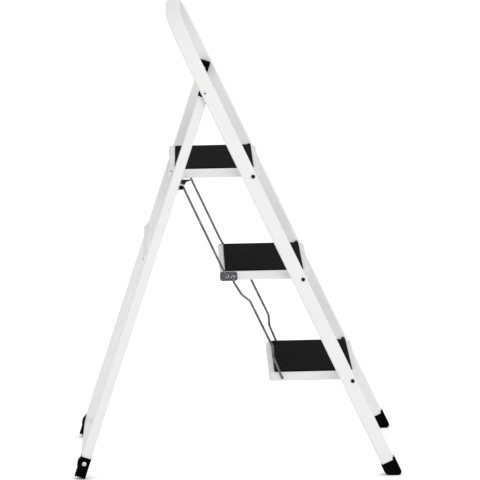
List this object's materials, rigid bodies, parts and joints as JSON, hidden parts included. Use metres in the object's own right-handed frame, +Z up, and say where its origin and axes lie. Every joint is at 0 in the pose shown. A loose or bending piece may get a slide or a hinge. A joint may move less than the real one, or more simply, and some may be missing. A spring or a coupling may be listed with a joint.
{
  "type": "folding step stool",
  "caption": "Folding step stool: white steel tube frame with a hand loop, flat treads with black rubber mats, wire links and black plastic feet.",
  "frame": {"origin": "on the floor, at the centre of the box that the open stool fills", "axes": "+X towards the climbing side, +Y to the left of a person climbing, +Z up"},
  "size_m": [0.7232, 0.4658, 1.0339],
  "materials": {
    "white_enamel": "white powder coat, semi-gloss",
    "black_plastic": "moulded, fine grain",
    "black_rubber": "ribbed, matt",
    "black_steel": "black zinc",
    "zinc_steel": "zinc plated",
    "bright_wire": "bright drawn wire"
  },
  "bodies": {
    "front_frame": {"front_frame_tube": "white_enamel", "front_foot_cap_left": "black_plastic", "front_foot_cap_right": "black_plastic", "frame_pivot_bolts": "black_steel", "frame_pivot_nuts": "zinc_steel", "frame_pivot_washers": "black_plastic", "step_pivot_bolts": "black_steel", "step_pivot_nuts": "zinc_steel", "step_pivot_spacers": "zinc_steel"},
    "rear_frame": {"rear_leg_left": "white_enamel", "rear_leg_right": "white_enamel", "rear_leg_top_cap_left": "black_plastic", "rear_leg_top_cap_right": "black_plastic", "rear_foot_cap_left": "black_plastic", "rear_foot_cap_right": "black_plastic", "lower_cross_bar": "white_enamel", "lower_bar_plugs": "black_plastic", "rear_foot_screws": "zinc_steel", "mid_cross_brace": "white_enamel", "mid_brace_bolts": "white_enamel", "rest_pegs": "white_enamel", "rest_peg_caps": "black_plastic"},
    "step_top": {"step_top_pan": "white_enamel", "step_top_mat": "black_rubber", "platform_hook_left": "zinc_steel", "platform_hook_right": "zinc_steel"},
    "step_middle": {"step_middle_pan": "white_enamel", "step_middle_mat": "black_rubber", "middle_bracket_left": "zinc_steel", "middle_bracket_right": "zinc_steel"},
    "step_bottom": {"step_bottom_pan": "white_enamel", "step_bottom_mat": "black_rubber"},
    "upper_links": {"upper_link_left": "bright_wire", "upper_link_right": "bright_wire", "upper_link_clips": "zinc_steel"},
    "lower_links": {"lower_link_left": "bright_wire", "lower_link_right": "bright_wire", "lower_link_clips": "zinc_steel"}
  },
  "joints": [
    {"name": "rear_frame_fold", "type": "hinge", "parent": "front_frame", "child": "rear_frame", "pos_m": [-0.05567, 0, 0.86], "axis": [0, -1, 0], "range_deg": [0, 40]},
    {"name": "step_top_fold", "type": "hinge", "parent": "front_frame", "child": "step_top", "pos_m": [0.0452, 0, 0.675], "axis": [0, 1, 0], "range_deg": [0, 58.01]},
    {"name": "step_middle_fold", "type": "hinge", "parent": "front_frame", "child": "step_middle", "pos_m": [0.1505, 0, 0.445], "axis": [0, 1, 0], "range_deg": [0, 58.01]},
    {"name": "step_bottom_fold", "type": "hinge", "parent": "front_frame", "child": "step_bottom", "pos_m": [0.2558, 0, 0.215], "axis": [0, 1, 0], "range_deg": [0, 58.01]},
    {"name": "upper_link_swing", "type": "hinge", "parent": "step_top", "child": "upper_links", "pos_m": [-0.1201, 0, 0.6742], "axis": [0, 1, 0], "range_deg": [-58.01, 0]},
    {"name": "lower_link_swing", "type": "hinge", "parent": "step_middle", "child": "lower_links", "pos_m": [-0.0022, 0, 0.4415], "axis": [0, 1, 0], "range_deg": [-58.01, 0]}
  ],
  "couplings": [
    {"joint": "step_top_fold", "follows": "rear_frame_fold", "ratio": 1.45},
    {"joint": "step_middle_fold", "follows": "rear_frame_fold", "ratio": 1.45},
    {"joint": "step_bottom_fold", "follows": "rear_frame_fold", "ratio": 1.45},
    {"joint": "upper_link_swing", "follows": "rear_frame_fold", "ratio": -1.45},
    {"joint": "lower_link_swing", "follows": "rear_frame_fold", "ratio": -1.45}
  ]
}
